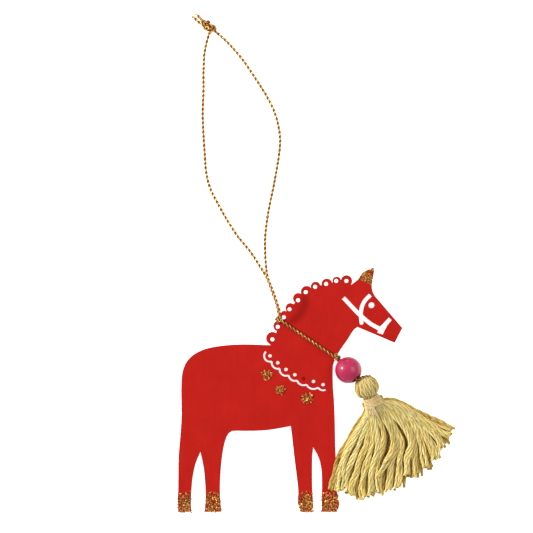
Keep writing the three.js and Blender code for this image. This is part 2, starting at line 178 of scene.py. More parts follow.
def twisted(name, routes, section, lay):
    """One mesh of twisted yarns: a yarn along each route, one turn in each length of lay."""
    data = bpy.data.curves.new(name, "CURVE")
    data.dimensions = "3D"
    data.bevel_mode = "OBJECT"
    data.bevel_object = section
    data.use_fill_caps = True
    data.twist_mode = "MINIMUM"
    for number, route in enumerate(routes):
        spline = data.splines.new("POLY")
        spline.points.add(len(route) - 1)
        steps = np.linalg.norm(np.diff(route, axis=0), axis=1)
        along = np.concatenate([[0], np.cumsum(steps)])
        spline.points.foreach_set("co", np.column_stack([route, np.ones(len(route))]).ravel())
        spline.points.foreach_set("tilt", math.tau * along / lay + number)
    line = bpy.data.objects.new(name + "_line", data)
    scene.collection.objects.link(line)
    shape = line.evaluated_get(bpy.context.evaluated_depsgraph_get())
    mesh = bpy.data.meshes.new_from_object(shape)
    bpy.data.objects.remove(line)
    bm = bmesh.new()
    bm.from_mesh(mesh)
    bmesh.ops.remove_doubles(bm, verts=bm.verts, dist=0.001 * MM)
    bmesh.ops.recalc_face_normals(bm, faces=bm.faces)
    return to_piece(name, bm, mesh)


def to_piece(name, bm, mesh=None):
    """Closes a bmesh into an object at the origin, shaded smooth."""
    mesh = mesh or bpy.data.meshes.new(name)
    mesh.name = name
    for face in bm.faces:
        face.smooth = True
    bm.to_mesh(mesh)
    bm.free()
    piece = bpy.data.objects.new(name, mesh)
    scene.collection.objects.link(piece)
    print(name, "has", len(mesh.polygons), "faces")
    return piece


def stands_for(piece, material, body, slot, *nodes):
    """Gives a finished piece its material and its body, and hides the CAD nodes it replaces; slot is not used."""
    piece.data.materials.clear()
    piece.data.materials.append(material)
    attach(piece, body)
    if nodes:
        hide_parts(*nodes)
    return piece


# %% [markdown]
# ## Gold cord
# Gift cord is two plies of yarn, each wrapped in a narrow strip of gold foil. Its crests
# shine, and the groove between the plies is painted dark brown as shade. Paler patches of gold
# along the cord are painted glints. The map on the cord has its second number round the
# section, so the groove is found from it, and a fine bump gives the foil's edges.

# %% Material: gold foil yarn
CORD_DIAMETER = 1.25 * MM
CORD_LAY = 3.4 * MM          # one full turn of the two plies
FOIL_WRAPS = 0.35            # millimetres from one foil edge to the next
PAINTED_GLINT = 1.1                  # millimetres of foil that flash together, painted as paler gold
CORD_PLIES = 2


def across_section(material, plies):
    """1 on the crest of each ply and 0 in the groove between two plies."""
    uv = add_node(material, "ShaderNodeUVMap", {}, {})
    parts = add_node(material, "ShaderNodeSeparateXYZ", {}, {"Vector": uv.outputs["UV"]})
    turn = add_node(material, "ShaderNodeMath",
                    {"operation": "MULTIPLY", 1: math.tau * plies}, {0: parts.outputs["Y"]})
    wave = add_node(material, "ShaderNodeMath", {"operation": "COSINE"}, {0: turn.outputs[0]})
    crest = add_node(material, "ShaderNodeMapRange", {"From Min": -1.0}, {0: wave.outputs[0]})
    return crest.outputs[0]


def gold_foil_yarn():
    material, shader = new_material("gold_foil_yarn", Metallic=0.65, Roughness=0.36)
    crest = across_section(material, CORD_PLIES)
    place = add_node(material, "ShaderNodeTexCoord", {}, {}).outputs["Object"]
    # Painted glints: the foil is painted paler gold in patches.
    glint = add_node(material, "ShaderNodeTexNoise",
                     {"Scale": 1 / (PAINTED_GLINT * MM), "Detail": 2.0}, {"Vector": place})
    tone = add_node(material, "ShaderNodeMapRange",
                    {"From Min": 0.35, "From Max": 0.65}, {0: glint.outputs["Fac"]})
    foil = add_node(material, "ShaderNodeMix",
                    {"data_type": "RGBA", LOW: "#AE7228", HIGH: "#E6BC72"},
                    {FACTOR: tone.outputs[0]})
    # Painted shade: the groove between the plies is painted dark brown.
    ridge = add_node(material, "ShaderNodeMapRange",
                     {"From Min": 0.2, "From Max": 0.8}, {0: crest})
    colour = add_node(material, "ShaderNodeMix", {"data_type": "RGBA", LOW: "#6C3610"},
                      {FACTOR: ridge.outputs[0], HIGH: foil.outputs[BLEND]})
    connect(material, colour.outputs[BLEND], shader, "Base Color")
    wraps = add_node(material, "ShaderNodeTexNoise",
                     {"Scale": 1 / (FOIL_WRAPS * MM), "Detail": 1.0}, {"Vector": place})
    bump = add_node(material, "ShaderNodeBump", {"Strength": 0.5, "Distance": 0.06 * MM},
                    {"Height": wraps.outputs["Fac"]})
    connect(material, bump.outputs["Normal"], shader, "Normal")
    return material


gold_yarn = gold_foil_yarn()
cord_section = ply_section("cord_section", CORD_DIAMETER / 2, CORD_PLIES, 12, 0.56)
print("cord:", CORD_DIAMETER / MM, "mm thick, a turn every", CORD_LAY / MM, "mm")

# %% [markdown]
# ## Hanging loop
# The loop is one length of cord. Its two legs lie loose on the table from the knot at the
# top to the nape, where they run together and the right leg rides on the left one. The
# points below are the route, as places on the table and a lift: 0 lies on the table and 1
# rides on the other leg.

# %% The two legs of the loop
LEG_STEP = 0.28 * MM
STACK_HEIGHT = 1.55 * MM
LEFT_LEG = [
    (0.0124, 0.1812, 0.3),
    (0.0117, 0.1796, 0), (0.0106, 0.1760, 0), (0.0098, 0.1715, 0), (0.0095, 0.1650, 0),
    (0.0095, 0.1580, 0), (0.0092, 0.1490, 0), (0.0095, 0.1415, 0), (0.0100, 0.1340, 0),
    (0.0105, 0.1275, 0), (0.0120, 0.1215, 0), (0.0150, 0.1155, 0), (0.0184, 0.1095, 0),
    (0.0223, 0.1035, 0), (0.0272, 0.0975, 0), (0.0311, 0.0915, 0), (0.0334, 0.0876, 0),
    (0.0353, 0.0826, 0), (0.0368, 0.0785, 0.1), (0.0375, 0.0758, 0.4), (0.0378, 0.0735, 0.7),
]
RIGHT_LEG = [
    (0.0125, 0.1815, 0.3),
    (0.0143, 0.1801, 0), (0.0193, 0.1755, 0), (0.0244, 0.1695, 0), (0.0285, 0.1635, 0),
    (0.0324, 0.1575, 0), (0.0356, 0.1515, 0), (0.0375, 0.1455, 0), (0.0383, 0.1395, 0),
    (0.0378, 0.1335, 0), (0.0368, 0.1275, 0), (0.0357, 0.1215, 0), (0.0344, 0.1155, 0),
    (0.0334, 0.1095, 0), (0.0327, 0.1035, 0), (0.0327, 0.0975, 0.1), (0.0329, 0.0940, 0.4),
    (0.0332, 0.0907, 0.8), (0.0338, 0.0874, 1), (0.0357, 0.0826, 1), (0.0371, 0.0785, 1.1),
    (0.0379, 0.0758, 1.2), (0.0383, 0.0737, 1.4),
]
TAILS = [
    [(0.0091, 0.1845, 0), (0.0067, 0.1871, 0)],
    [(0.0080, 0.1836, 0), (0.0054, 0.1861, 0)],
]
TOP_KNOT = Vector((0.0112, 0.1822, 0))     # its middle, in the route's own places
TOP_KNOT_HEADING = math.radians(-31.5)


def middle_of(node):
    low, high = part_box(node)
    return (low + high) / 2


route_origin = middle_of("loop_knot") - TOP_KNOT
route_origin.z = CORD_DIAMETER / 2


def on_table(route, step=LEG_STEP):
    places = [route_origin + Vector((x, y, lift * STACK_HEIGHT)) for x, y, lift in route]
    return smooth_route(places, step)


left_route, right_route = on_table(LEFT_LEG), on_table(RIGHT_LEG)
left_leg = twisted("loop_leg_left_cord", [left_route], cord_section, CORD_LAY)
right_leg = twisted("loop_leg_right_cord", [right_route], cord_section, CORD_LAY)
print("legs in mm:", round(length_of(left_route) / MM, 1), round(length_of(right_route) / MM, 1))


# %% [markdown]
# ## Knots of the loop
# The two legs are tied together in an overhand knot. A trefoil curve is the line of an
# overhand knot, so the same twisted section along a squeezed trefoil gives its lobes.

# %% The top knot and its tails
def knot_route(centre, along, side, size, step):
    """A trefoil about centre: size is its half length, half width and half height."""
    rise = along.cross(side)
    places = []
    for turn in np.linspace(0, math.tau, 60):
        x = (math.sin(turn) + 2 * math.sin(2 * turn)) / 3
        y = (math.cos(turn) - 2 * math.cos(2 * turn)) / 3
        z = -math.sin(3 * turn)
        places.append(centre + along * x * size[0] + side * y * size[1] + rise * z * size[2])
    return smooth_route(places, step)


knot_low, knot_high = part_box("loop_knot")
knot_middle = middle_of("loop_knot")
knot_along = Vector((math.cos(TOP_KNOT_HEADING), math.sin(TOP_KNOT_HEADING), 0))
knot_side = Vector((-knot_along.y, knot_along.x, 0))
half_height = (knot_high.z - knot_low.z) / 2 - CORD_DIAMETER / 2
top_size = (3.2 * MM, 1.35 * MM, half_height)
top_routes = [knot_route(knot_middle, knot_along, knot_side, top_size, LEG_STEP)]
for shift, width in ((1.3 * MM, 1.35 * MM), (-1.0 * MM, 1.6 * MM)):   # one lobe at each end
    top_routes.append(knot_route(knot_middle + knot_along * shift, knot_side, knot_along,
                                 (width, 1.5 * MM, half_height * 0.85), LEG_STEP))
top_knot = twisted("loop_knot_cord", top_routes, cord_section, CORD_LAY)
tail_pieces = []
for number, tail in enumerate(TAILS, 1):
    start, end = (Vector(point) for point in tail)
    start += (TOP_KNOT - start) * 0.45       # the tail begins inside the knot
    tail_route = on_table([start, tail[0], end], LEG_STEP)
    tail_pieces.append(twisted(f"loop_tail_{number}_cord", [tail_route], cord_section, CORD_LAY))

loop_nodes = ["loop_leg_left", "loop_leg_right", "loop_knot", "loop_tail_1", "loop_tail_2"]
for piece, node in zip([left_leg, right_leg, top_knot, *tail_pieces], loop_nodes):
    stands_for(piece, gold_yarn, "loop", "gold_cord", node)

# %% [markdown]
# ## The painted sheet
# The horse is cut from thin steel sheet and sprayed with matt red paint. The CAD sheet has the
# right outline and holes, so a copy of it is merged and the faces of its cut edge are marked
# for a painted shade. Paint rounds such an edge by a tenth of a millimetre at most, which
# hardly shows from above, so the edges stay crisp. A grid of cuts then gives the flat faces
# points of their own, because the cord has pulled a soft crease into the sheet at the nape,
# which is also painted darker as shade.

# %% Sheet: copy, merge and mark the cut edge
GRID = 1.5 * MM
FLAT = 0.9                   # a face whose normal leans this far up or down is a flat one
mount = frame["record"]["mounts"][0]
sheet_up = -Vector(mount["axis"])        # out of the painted front
nape = Vector(joints["loop_swing"]["pos_m"])
throat = Vector(joints["tassel_swing"]["pos_m"])
board_low, board_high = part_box("horse_board")

sheet_mesh = frame["nodes"]["horse_board"].data.copy()
bm = bmesh.new()
bm.from_mesh(sheet_mesh)
bmesh.ops.remove_doubles(bm, verts=bm.verts, dist=0.001 * MM)
front_height = max(vert.co.dot(sheet_up) for vert in bm.verts)
back_height = min(vert.co.dot(sheet_up) for vert in bm.verts)


def is_flat(face):
    return abs(face.normal.dot(sheet_up)) > FLAT


edge_shade = bm.faces.layers.float.new("edge_shade")
for face in bm.faces:
    face[edge_shade] = 0.0 if is_flat(face) else 1.0
print("sheet:", len(bm.faces), "faces, front at", round(front_height / MM, 3), "mm")

# %% Sheet: grid and crease
CREASE_CENTRE = nape + Vector((1.6 * MM, 6.9 * MM, 0))
CREASE_RADIUS = 8.3 * MM
CREASE_WIDTH = 2.6 * MM
CREASE_RISE = 0.45 * MM
CREASE_HEADING = math.radians(-30)
CREASE_REACH = math.radians(62)      # to each side of its heading
CREASE_FADE = math.radians(30)       # its ends run out over this


def eased(share):
    """A share from 0 to 1 with a soft start and end."""
    share = max(0.0, min(1.0, share))
    return share * share * (3 - 2 * share)


def crease_at(place):
    """How far the sheet rises at a place, and how deep in the crease it is, from 0 to 1."""
    way = place - CREASE_CENTRE
    distance = math.hypot(way.x, way.y)
    turn = abs(math.remainder(math.atan2(way.y, way.x) - CREASE_HEADING, math.tau))
    fade = eased((CREASE_REACH - turn) / CREASE_FADE)
    inside = eased(0.5 + (CREASE_RADIUS - distance) / (2 * CREASE_WIDTH))
    depth = math.exp(-((distance - CREASE_RADIUS) / (0.6 * CREASE_WIDTH)) ** 2)
    return CREASE_RISE * inside * fade, depth * fade


def cuts(low, high):
    return np.arange(low + GRID / 2, high, GRID)


planes = [(Vector((x, 0, 0)), Vector((1, 0, 0))) for x in cuts(board_low.x, board_high.x)]
planes += [(Vector((0, y, 0)), Vector((0, 1, 0))) for y in cuts(board_low.y, board_high.y)]
for place, normal in planes:
    bmesh.ops.bisect_plane(bm, geom=[*bm.verts, *bm.edges, *bm.faces], dist=0.0001 * MM,
                           plane_co=place, plane_no=normal)
bm.normal_update()
for edge in bm.edges:
    edge.smooth = len({is_flat(face) for face in edge.link_faces}) == 1
# The depth in the crease is kept for the paint, which paints shade into the crease.
crease_shade_layer = bm.verts.layers.float.new("crease")
for vert in bm.verts:
    rise, depth = crease_at(vert.co)
    vert[crease_shade_layer] = depth
    vert.co += sheet_up * rise
sheet = to_piece("painted_sheet", bm, sheet_mesh)
even = sheet.modifiers.new("even_normals", "WEIGHTED_NORMAL")
even.keep_sharp = True

# %% [markdown]
# ## Matt red paint
# Matt paint on steel scatters nearly all of its light, so its gloss is low. Up close it has
# a fine grain from the spray and faint streaks from the rolled sheet below. The cut edges and
# the crease at the nape are painted a deeper red, as shade.

# %% Material: matt red paint
SPRAY_GRAIN = 0.5            # millimetres, drawn coarser than the real 0.1 so that it shows
STREAK_WIDTH = 0.9           # millimetres across a rolling streak
MOTTLE = 7.0                 # millimetres across a paler patch
EDGE_SHADE_MOST = 1.6               # the mark of the deepest painted shade; a cut edge has 1


def matt_red_paint():
    material, shader = new_material("matt_red_paint", Roughness=0.7, Specular_IOR_Level=0.08)
    place = add_node(material, "ShaderNodeTexCoord", {}, {}).outputs["Object"]
    mottle = add_node(material, "ShaderNodeTexNoise",
                      {"Scale": 1 / (MOTTLE * MM), "Detail": 4.0, "Roughness": 0.6},
                      {"Vector": place})
    stretch = add_node(material, "ShaderNodeMapping", {"Scale": (1, 0.07, 1)}, {"Vector": place})
    streak = add_node(material, "ShaderNodeTexNoise",
                      {"Scale": 1 / (STREAK_WIDTH * MM), "Detail": 2.0},
                      {"Vector": stretch.outputs["Vector"]})
    faint = add_node(material, "ShaderNodeMapRange", {"To Max": 0.45}, {0: streak.outputs["Fac"]})
    both = add_node(material, "ShaderNodeMath", {"operation": "ADD"},
                    {0: mottle.outputs["Fac"], 1: faint.outputs[0]})
    tone = add_node(material, "ShaderNodeMapRange", {"From Min": 0.45}, {0: both.outputs[0]})
    colour = add_node(material, "ShaderNodeMix",
                      {"data_type": "RGBA", LOW: "#A4150D", HIGH: "#B11A12"},
                      {FACTOR: tone.outputs[0]})
    # Painted shade: a darker red in the crease, and a deeper red on the cut edges and the drop.
    darker = (("crease", 1.0, 0.6, "#800A06"), ("edge_shade", EDGE_SHADE_MOST, 0.88, "#980A0A"))
    for layer, most, strength, shade in darker:
        marked = add_node(material, "ShaderNodeAttribute", {"attribute_name": layer}, {})
        share = add_node(material, "ShaderNodeMapRange",
                         {"From Max": most, "To Max": strength}, {0: marked.outputs["Fac"]})
        colour = add_node(material, "ShaderNodeMix", {"data_type": "RGBA", HIGH: shade},
                          {FACTOR: share.outputs[0], LOW: colour.outputs[BLEND]})
    connect(material, colour.outputs[BLEND], shader, "Base Color")
    grain = add_node(material, "ShaderNodeTexNoise",
                     {"Scale": 1 / (SPRAY_GRAIN * MM), "Detail": 3.0}, {"Vector": place})
    bump = add_node(material, "ShaderNodeBump", {"Strength": 0.25, "Distance": 0.03 * MM},
                    {"Height": grain.outputs["Fac"]})
    connect(material, bump.outputs["Normal"], shader, "Normal")
    return material


red_paint = matt_red_paint()
stands_for(sheet, red_paint, "horse", "red_paint", "horse_board")


# %% [markdown]
# ## A filled hole
# The fifth hole above the collar has filled with a drop of paint, which dried below the
# front. It is a disc a little wider than the hole, so that it reaches into the sheet.

# %% Drop of paint
PLUG_PLACE = nape + Vector((9.5 * MM, -22.4 * MM, 0))
PLUG_RADIUS = 0.8 * MM
PLUG_THICKNESS = 0.5 * MM
PLUG_DEPTH = 0.2 * MM                # from the painted front down to the plug


def front_at(x, y):
    """The height of the painted front above the table at a place."""
    rise, _ = crease_at(Vector((x, y, 0)))
    return (front_height + rise - x * sheet_up.x - y * sheet_up.y) / sheet_up.z


plug_front = front_at(PLUG_PLACE.x, PLUG_PLACE.y) - PLUG_DEPTH
plug_middle = Vector((PLUG_PLACE.x, PLUG_PLACE.y, plug_front - PLUG_THICKNESS / 2))
bm = bmesh.new()
bmesh.ops.create_cone(bm, cap_ends=True, segments=24, radius1=PLUG_RADIUS, radius2=PLUG_RADIUS,
                      depth=PLUG_THICKNESS, matrix=Matrix.Translation(plug_middle))
plug_rim = bm.faces.layers.float.new("edge_shade")
for face in bm.faces:
    face[plug_rim] = EDGE_SHADE_MOST        # deeper than the cut edges, because it lies in shade
plug = to_piece("dried_paint_drop", bm)
stands_for(plug, red_paint, "horse", "red_paint", "horse_board")


# %% [markdown]
# ## Glitter
# Glitter is cut foil: tiny hexagons that lie at every angle in clear glue. Each flake here
# is its own thin hexagon. A flake is kept where a straight line down meets the CAD coat, so
# the glitter has the coat's outline, and it thins out towards the top of each hoof.

# %% Glitter: flakes
FLAKE_RADIUS = (0.12, 0.27)          # millimetres, smallest and largest
FLAKE_THICKNESS = 0.03 * MM
FLAKES_PER_MM2 = 9.5
OVERHANG = 0.3 * MM                  # how far a flake may stick out past the coat
HOOF_FADE = 2.6 * MM                 # the top of a hoof's coat thins out over this
HOOF_SPRAY = 1.0 * MM                # and single flakes lie this far above it
GLITTER_DEPTH = 0.5 * MM


def node_tree(node):
    mesh = frame["nodes"][node].data
    return BVHTree.FromPolygons([v.co for v in mesh.vertices],
                                [p.vertices[:] for p in mesh.polygons])


def coated(tree, x, y, reach):
    """True if the coat lies below the place, or nearer to it than reach, sideways."""
    near = tree.find_nearest(Vector((x, y, front_at(x, y) + 0.5 * MM)))[0]
    return math.hypot(near.x - x, near.y - y) <= reach


def flakes(name, node, dice, fade=0.0, spray=0.0, patchiness=0.0):
    low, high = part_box(node)
    tree = node_tree(node)
    bm = bmesh.new()
    area = (high.x - low.x + 2 * OVERHANG) * (high.y - low.y + 2 * OVERHANG + spray) / MM**2
    for _ in range(round(area * FLAKES_PER_MM2)):
        x = dice.uniform(low.x - OVERHANG, high.x + OVERHANG)
        y = dice.uniform(low.y - OVERHANG, high.y + OVERHANG + spray)
        keep = 1.0
        if fade:
            keep = min(1.0, max(0.0, high.y + spray - y) / (fade + spray)) ** 1.3
        if dice.random() > keep or dice.random() < patchiness:
            continue
        reach = spray if y > high.y else dice.uniform(0, OVERHANG)
        if not coated(tree, x, y, reach):
            continue
        radius = dice.uniform(*FLAKE_RADIUS) * MM
        lean = Matrix.Rotation(math.radians(abs(dice.gauss(0, 22))), 4, "X")
        spin = Matrix.Rotation(dice.uniform(0, math.tau), 4, "Z")
        height = front_at(x, y) + dice.uniform(0.06 * MM, GLITTER_DEPTH)
        bmesh.ops.create_cone(bm, cap_ends=True, segments=6, radius1=radius, radius2=radius,
                              depth=FLAKE_THICKNESS,
                              matrix=Matrix.Translation((x, y, height)) @ spin @ lean @ spin)
    piece = to_piece(name, bm)
    for polygon in piece.data.polygons:
        polygon.use_smooth = False
    return piece


def gold_glitter():
    """Cut foil under gold lacquering. Each flake has a random tone: pale gold is a painted flash of light, brown a
    painted unlit flake.
    """
    material, shader = new_material("gold_glitter_foil", Metallic=0.75, Roughness=0.38)
    island = add_node(material, "ShaderNodeNewGeometry", {}, {}).outputs["Random Per Island"]
    # Painted light and shade: pale flakes stand in for flashes, brown ones for unlit flakes.
    dull = add_node(material, "ShaderNodeMapRange", {"From Max": 0.55}, {0: island})
    bright = add_node(material, "ShaderNodeMapRange", {"From Min": 0.55}, {0: island})
    flake_tone_and_shade = add_node(material, "ShaderNodeMix",
                       {"data_type": "RGBA", LOW: "#6A2A0A", HIGH: "#B9722A"},
                       {FACTOR: dull.outputs[0]})
    colour = add_node(material, "ShaderNodeMix", {"data_type": "RGBA", HIGH: "#F6CF74"},
                      {FACTOR: bright.outputs[0], LOW: flake_tone_and_shade.outputs[BLEND]})
    connect(material, colour.outputs[BLEND], shader, "Base Color")
    return material


glitter = gold_glitter()
for number in range(1, 5):
    hoof = flakes(f"hoof_flakes_{number}", f"hoof_glitter_{number}", random.Random(number),
                  fade=HOOF_FADE, spray=HOOF_SPRAY)
    stands_for(hoof, glitter, "horse", "gold_glitter", f"hoof_glitter_{number}")
ear = flakes("ear_flakes", "ear_glitter", random.Random(11))
stands_for(ear, glitter, "horse", "gold_glitter", "ear_glitter")
for number in range(1, 4):
    dot = flakes(f"saddle_flakes_{number}", f"glitter_dot_{number}", random.Random(20 + number),
                 patchiness=0.1)
    stands_for(dot, glitter, "horse", "gold_glitter", f"glitter_dot_{number}")

# %% [markdown]
# ## Cord round the neck
# One strand crosses the front of the neck and one the back. They meet in a hitch at the
# nape, where the loop leaves, and in a small knot at the throat, where the tassel hangs.
# Cord bends easily, so each is the same twisted section along a short route.

# %% Neck strands and knots
KNOT_CORD = 1.0 * MM                 # the cord is squeezed thinner where it is pulled tight
tight_section = ply_section("tight_cord_section", KNOT_CORD / 2, CORD_PLIES, 12, 0.56)
TIGHT_LAY = 2.8 * MM

across = throat - nape
across.z = 0
neck_width = across.length
across.normalize()
beside = Vector((-across.y, across.x, 0))


def at_nape(x, y, height):
    """A place by its distance from the nape and its height above the table."""
    return Vector((nape.x + x * MM, nape.y + y * MM, height))


def strand_over(start, end, lift):
    """A line of places from start to end across the neck, lift above the painted front."""
    places = []
    for share in np.linspace(0, 1, 6):
        place = nape + across * (start + (end - start) * share)
        place.z = front_at(place.x, place.y) + lift
        places.append(place)
    return places


sheet_thickness = front_height - back_height
nape_front = front_at(nape.x, nape.y)
nape_back = nape_front - sheet_thickness
front_route = smooth_route(strand_over(1.3 * MM, neck_width - 0.9 * MM, 0.62 * MM), LEG_STEP)
front_strand = twisted("neck_strand_front", [front_route], cord_section, CORD_LAY)
stands_for(front_strand, gold_yarn, "horse", "gold_cord", "neck_cord_front")

back_lift = -sheet_thickness - 0.68 * MM
back_route = smooth_route(strand_over(1.0 * MM, neck_width - 0.9 * MM, back_lift), LEG_STEP)
back_strand = twisted("neck_strand_back", [back_route], cord_section, CORD_LAY)
stands_for(back_strand, gold_yarn, "horse", "gold_cord", "neck_cord_back")

hitch = [
    at_nape(1.3, -0.8, nape_front + 0.55 * MM), at_nape(0.3, 0.1, nape_front + 0.95 * MM),
    at_nape(-0.6, 0.4, nape_front + 0.45 * MM), at_nape(-1.0, -0.1, nape_front - 0.4 * MM),
    at_nape(-0.5, -0.8, nape_back + 0.1 * MM), at_nape(0.9, -0.7, nape_back - 0.66 * MM),
]
turn = [
    at_nape(1.0, -0.4, nape_front + 0.3 * MM), at_nape(1.15, 0.6, nape_front + 0.6 * MM),
    at_nape(0.4, 1.0, nape_front + 0.75 * MM), at_nape(-0.35, 0.6, nape_front + 0.1 * MM),
    at_nape(-0.6, -0.5, nape_front - 0.2 * MM), at_nape(-0.1, -1.1, nape_front + 0.3 * MM),
    at_nape(0.7, -0.9, nape_front + 0.6 * MM),
]
nape_routes = [smooth_route(hitch, LEG_STEP), smooth_route(turn, LEG_STEP)]
nape_knot = twisted("nape_knot_cord", nape_routes, tight_section, TIGHT_LAY)
stands_for(nape_knot, gold_yarn, "horse", "gold_cord", "nape_knot")

throat_size = (1.0 * MM, 1.15 * MM, 0.5 * MM)
throat_middle = throat - across * 1.3 * MM + beside * 0.5 * MM
throat_middle.z = front_at(throat_middle.x, throat_middle.y) + 0.85 * MM
throat_routes = [
    knot_route(throat_middle, across, beside, throat_size, LEG_STEP),
    knot_route(throat - across * 0.3 * MM, across, beside, (0.35 * MM, 0.6 * MM, 0.5 * MM),
               LEG_STEP),
]
throat_knot = twisted("throat_knot_cord", throat_routes, tight_section, TIGHT_LAY)
stands_for(throat_knot, gold_yarn, "horse", "gold_cord", "throat_knot")

# %% [markdown]
# ## Bead
# A wooden bead is turned on a lathe and dipped in gloss paint. A lathe is a spin: half of
# the profile is drawn once, with a rounded lip at each end of the hole, and spun round the
# hole's axis. The spin leaves an open seam unless its ends are merged.

# %% Bead
BEAD_HOLE = 1.5 * MM                 # radius
BEAD_LIP = 0.35 * MM                 # radius of the rounded edge of the hole
bead_middle = middle_of("bead")
bead_low, bead_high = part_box("bead")
bead_radius = (bead_high.z - bead_low.z) / 2
hole_axis = Vector(joints["bead_spin"]["axis"])


def turned(name, profile, steps, centre, axis, closed):
    """Spins a profile of (radius, along) places round an axis through centre."""
    bm = bmesh.new()
    verts = [bm.verts.new((radius, 0, along)) for radius, along in profile]
    pairs = zip(verts, [*verts[1:], verts[0]] if closed else verts[1:])
    edges = [bm.edges.new(pair) for pair in pairs]
    bmesh.ops.spin(bm, geom=[*verts, *edges], cent=(0, 0, 0), axis=(0, 0, 1), dvec=(0, 0, 0),
                   angle=math.tau, steps=steps, use_merge=True)
    bmesh.ops.remove_doubles(bm, verts=bm.verts, dist=0.0005 * MM)
    bmesh.ops.recalc_face_normals(bm, faces=bm.faces)
    stand_up = axis.to_track_quat("Z", "Y").to_matrix().to_4x4()
    bmesh.ops.transform(bm, matrix=Matrix.Translation(centre) @ stand_up, verts=bm.verts)
    return to_piece(name, bm)


def bead_profile():
    lip_latitude = math.acos((BEAD_HOLE + BEAD_LIP) / bead_radius)
    outside = [(bead_radius * math.cos(a), bead_radius * math.sin(a))
               for a in np.linspace(-lip_latitude, lip_latitude, 33)]
    lip_height = bead_radius * math.sin(lip_latitude) - BEAD_LIP * 0.9
    lip = [(BEAD_HOLE + BEAD_LIP * (1 - math.sin(a)), lip_height + BEAD_LIP * math.cos(a))
           for a in np.linspace(0.3, math.pi / 2, 5)]
    below = [(radius, -along) for radius, along in reversed(lip)]
    return [*outside, *lip, *below]


bead = turned("painted_bead", bead_profile(), 64, bead_middle, hole_axis, closed=True)


def gloss_pink_paint():
    """Dipped gloss paint on turned wood: a smooth clear skin over faint rings of grain."""
    material, shader = new_material("gloss_pink_paint", Roughness=0.45, Coat_Weight=0.3,
                                    Specular_IOR_Level=0.25, Coat_Roughness=0.14)
    place = add_node(material, "ShaderNodeTexCoord", {}, {}).outputs["Object"]
    cloud = add_node(material, "ShaderNodeTexNoise",
                     {"Scale": 1 / (4 * MM), "Detail": 3.0}, {"Vector": place})
    tone = add_node(material, "ShaderNodeMapRange",
                    {"From Min": 0.35, "From Max": 0.65}, {0: cloud.outputs["Fac"]})
    colour = add_node(material, "ShaderNodeMix",
                      {"data_type": "RGBA", LOW: "#9E1A43", HIGH: "#AE224E"},
                      {FACTOR: tone.outputs[0]})
    connect(material, colour.outputs[BLEND], shader, "Base Color")
    grain = add_node(material, "ShaderNodeTexNoise",
                     {"Scale": 1 / (0.8 * MM), "Detail": 3.0}, {"Vector": place})
    bump = add_node(material, "ShaderNodeBump", {"Strength": 0.12, "Distance": 0.05 * MM},
                    {"Height": grain.outputs["Fac"]})
    connect(material, bump.outputs["Normal"], shader, "Normal")
    return material


stands_for(bead, gloss_pink_paint(), "bead", "pink_bead", "bead")

# %% [markdown]
# ## Tassel: where it lies
# The binding is a turned ring, so its points spread least along its own axis. That axis,
# and the middle of the binding, place the head above it and the skirt below it.

# %% Tassel frame
HEAD_TO_BINDING = 5.65 * MM          # from the widest place of the head to the binding's middle


def ring_axis(node):
    """The axis of a turned ring: the way in which its points spread least."""
    points = np.array([v.co for v in frame["nodes"][node].data.vertices])
    return Vector(np.linalg.eigh(np.cov(points.T))[1][:, 0])


binding_middle = middle_of("tassel_binding")
tassel_axis = ring_axis("tassel_binding")
if tassel_axis.dot(middle_of("tassel_skirt") - binding_middle) < 0:
    tassel_axis.negate()
head_middle = binding_middle - tassel_axis * HEAD_TO_BINDING
along_skirt = Vector((tassel_axis.x, tassel_axis.y, 0)).normalized()
across_skirt = Vector((-along_skirt.y, along_skirt.x, 0))
print("tassel heading:", round(math.degrees(math.atan2(along_skirt.y, along_skirt.x)), 1))


def in_tassel(along, sideways, height):
    """A place by its distances in mm along and across the skirt and above the table."""
    place = head_middle + along_skirt * along * MM + across_skirt * sideways * MM
    place.z = height * MM
    return place


def about_axis(radius, turn, along):
    """A place at a radius and a turn about the head's axis, along it from its widest place."""
    out = across_skirt * math.sin(turn) + tassel_axis.cross(across_skirt) * math.cos(turn)
    return head_middle + tassel_axis * along + out * radius


# %% [markdown]
# ## Cotton yarn
# The tassel is soft cotton of three plies, hardly twisted. Cotton has no gloss, but its loose
# fibres catch light from the side, which is what sheen does, and light passes through them,
# so the shadows between yarns are warm. No two yarns take dye alike, so each gets a tone of
# its own, and the groove between its plies is painted darker as shade.

# %% Material: cotton yarn
YARN_DIAMETER = 1.15 * MM
YARN_LAY = 10 * MM
YARN_STEP = 0.38 * MM
YARN_PLIES = 3
FIBRE = 0.12                 # millimetres across a bundle of fibres


